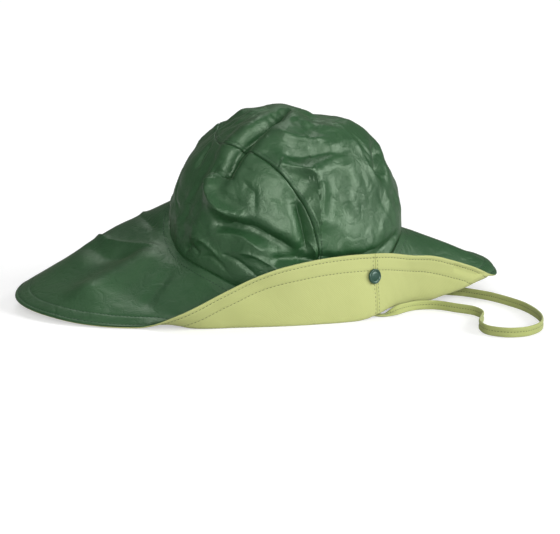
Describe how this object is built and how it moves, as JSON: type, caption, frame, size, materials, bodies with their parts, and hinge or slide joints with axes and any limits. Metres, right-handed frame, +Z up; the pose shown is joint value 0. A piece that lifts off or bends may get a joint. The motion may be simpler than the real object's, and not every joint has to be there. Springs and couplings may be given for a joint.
{
  "type": "rain hat",
  "caption": "Soft rain hat with a coated shell, a cotton-lined brim that is long at the back and snapped up at one side, and a loose chin strap",
  "frame": {"origin": "on the surface the hat lies on, under the middle of the hat without its strap", "axes": "+X to the wearer's front, +Y to the wearer's left, +Z up; the hat lies as it does when taken off"},
  "size_m": [0.4248, 0.2824, 0.1687],
  "materials": {
    "outer_cloth": "dark green coated nylon, glossy",
    "lining_cloth": "pale yellow-green cotton, matt",
    "snap_enamel": "dark green enamel, glossy",
    "strap_webbing": "light green flat tape, matt"
  },
  "bodies": {
    "root": {"crown_front_panel": "outer_cloth", "crown_back_panel": "outer_cloth", "brim_shell_front": "outer_cloth", "brim_shell_back": "outer_cloth", "brim_lining_front": "lining_cloth", "brim_lining_back": "lining_cloth", "snap_cap": "snap_enamel", "snap_socket": "snap_enamel", "chin_strap": "strap_webbing"}
  },
  "joints": []
}
